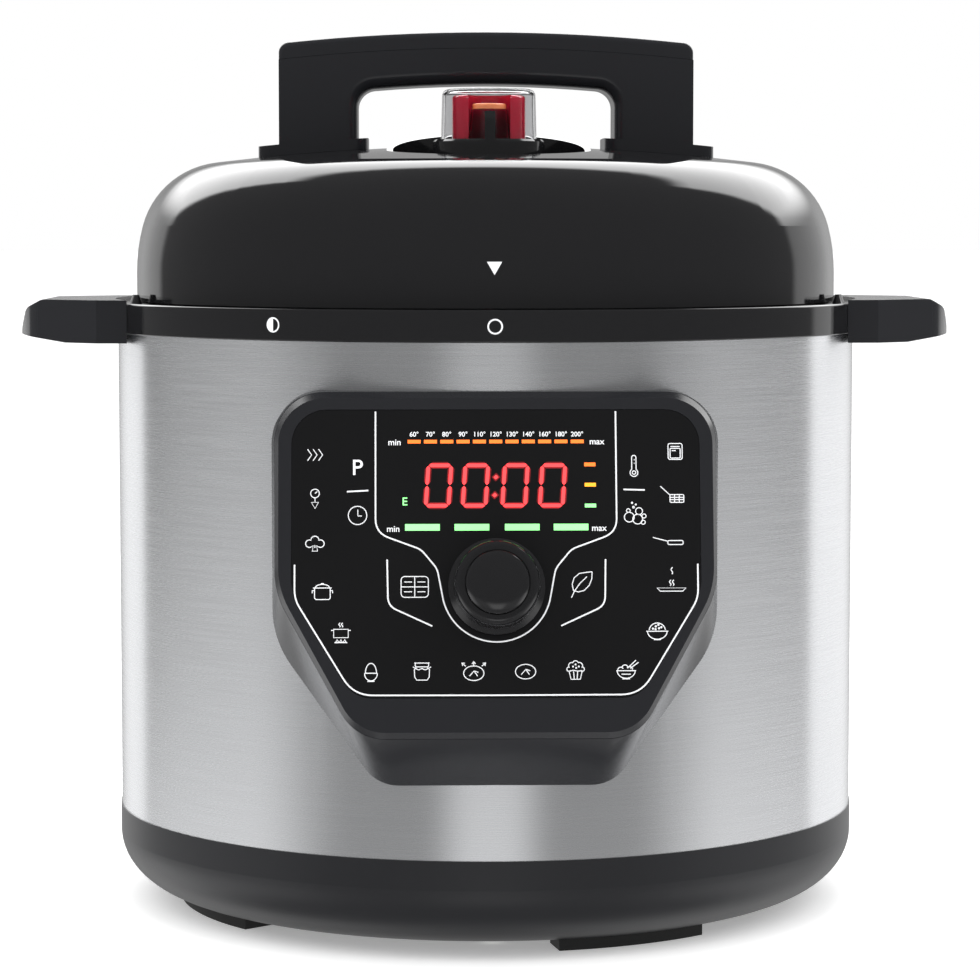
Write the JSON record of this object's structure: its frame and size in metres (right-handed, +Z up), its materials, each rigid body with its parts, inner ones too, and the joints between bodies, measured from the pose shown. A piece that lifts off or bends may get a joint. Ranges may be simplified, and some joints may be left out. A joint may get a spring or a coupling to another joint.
{
  "type": "electric pressure cooker",
  "caption": "Round electric pressure cooker with a steel body, a domed black lid with a bridge handle and valve, side handles and a tilted control panel with a dial.",
  "frame": {"origin": "middle of the footprint on the resting plane, on the axis of the pot", "axes": "+Z up, -Y towards the control panel, +X to the right when facing the panel"},
  "size_m": [0.3604, 0.3584, 0.3354],
  "materials": {
    "satin_black": "satin charcoal black plastic",
    "gloss_black": "polished black plastic",
    "foot_rubber": "matt black rubber",
    "brushed_shell": "fine horizontal brushing",
    "jacket_steel": "plain pressed steel",
    "pot_steel": "polished stainless steel",
    "cast_aluminium": "cast aluminium",
    "element_metal": "sheathed element",
    "zinc_steel": "zinc plated steel",
    "spring_steel": "bright spring wire",
    "fuse_sleeve": "woven glass sleeve",
    "circuit_board": "green circuit board",
    "component_black": "moulded components",
    "brass_pins": "brass",
    "lead_sleeve": "silicone covered leads",
    "ribbon_grey": "grey ribbon cable",
    "panel_print": "black printed film with white line drawings",
    "display_red": "dark display with red digits",
    "silicone": "translucent silicone",
    "clear_plastic": "clear polycarbonate",
    "red_plastic": "red plastic",
    "orange_plastic": "orange red plastic"
  },
  "bodies": {
    "cooker": {"base_tray": "satin_black", "rubber_feet": "foot_rubber", "outer_shell": "brushed_shell", "collar_ring": "gloss_black", "heat_jacket": "jacket_steel", "inner_pot": "pot_steel", "heating_plate": "cast_aluminium", "heater_tube": "element_metal", "carrier_plate": "zinc_steel", "plate_studs": "zinc_steel", "jacket_studs": "zinc_steel", "base_columns": "zinc_steel", "sensor_spring": "spring_steel", "thermal_fuse": "fuse_sleeve", "pressure_switch": "satin_black", "power_board": "circuit_board", "board_screws": "zinc_steel", "board_components": "component_black", "inlet_housing": "satin_black", "inlet_pins": "brass_pins", "mains_leads": "lead_sleeve", "control_panel": "satin_black", "panel_film": "panel_print", "control_board": "circuit_board", "display_module": "display_red", "board_standoffs": "brass_pins", "encoder": "zinc_steel", "ribbon_cable": "ribbon_grey", "handle_left": "satin_black", "handle_right": "satin_black", "cup_bracket": "satin_black", "base_screws": "zinc_steel"},
    "seal_carrier": {"sealing_ring": "silicone"},
    "lid": {"lid_cover": "gloss_black", "inner_lid": "pot_steel", "inner_lid_screws": "zinc_steel", "seal_frame": "spring_steel", "steam_guard": "gloss_black", "valve_hub": "gloss_black", "steam_pipe": "pot_steel", "pipe_nut": "zinc_steel", "steam_shield": "pot_steel", "valve_weight": "red_plastic", "float_tube": "clear_plastic", "bridge_handle": "satin_black", "handle_cap": "satin_black"},
    "valve_selector": {"selector_ring": "satin_black", "valve_cover": "clear_plastic"},
    "float": {"float_pin": "red_plastic", "float_cap": "orange_plastic", "float_seal": "silicone"},
    "dial": {"dial_ring": "gloss_black"},
    "dial_button": {"dial_cap": "gloss_black"},
    "cup": {"condensation_cup": "clear_plastic"},
    "sensor": {"sensor_cap": "cast_aluminium"}
  },
  "joints": [
    {"name": "lid_lift", "type": "slide", "parent": "cooker", "child": "seal_carrier", "axis": [0, 0, 1], "range_m": [0, 0.15]},
    {"name": "lid_turn", "type": "hinge", "parent": "seal_carrier", "child": "lid", "pos_m": [0, 0, 0.23], "axis": [0, 0, 1], "range_deg": [-33, 0]},
    {"name": "valve_turn", "type": "hinge", "parent": "lid", "child": "valve_selector", "pos_m": [0, -0.052, 0.29], "axis": [0, 0, 1], "range_deg": [0, 45]},
    {"name": "float_rise", "type": "slide", "parent": "lid", "child": "float", "axis": [0, 0, 1], "range_m": [0, 0.0035]},
    {"name": "dial_spin", "type": "hinge", "parent": "cooker", "child": "dial", "pos_m": [0, -0.1618, 0.137], "axis": [0, -0.9744, 0.225], "continuous": true},
    {"name": "dial_press", "type": "slide", "parent": "cooker", "child": "dial_button", "axis": [0, 0.9744, -0.225], "range_m": [0, 0.0015], "stiffness_N_per_m": 1500, "springref_m": -0.0012},
    {"name": "cup_slide", "type": "slide", "parent": "cooker", "child": "cup", "axis": [0, 1, 0], "range_m": [0, 0.04]},
    {"name": "sensor_dip", "type": "slide", "parent": "cooker", "child": "sensor", "axis": [0, 0, -1], "range_m": [0, 0.0025], "stiffness_N_per_m": 1200, "springref_m": -0.002, "deforming": ["sensor_spring"]}
  ]
}
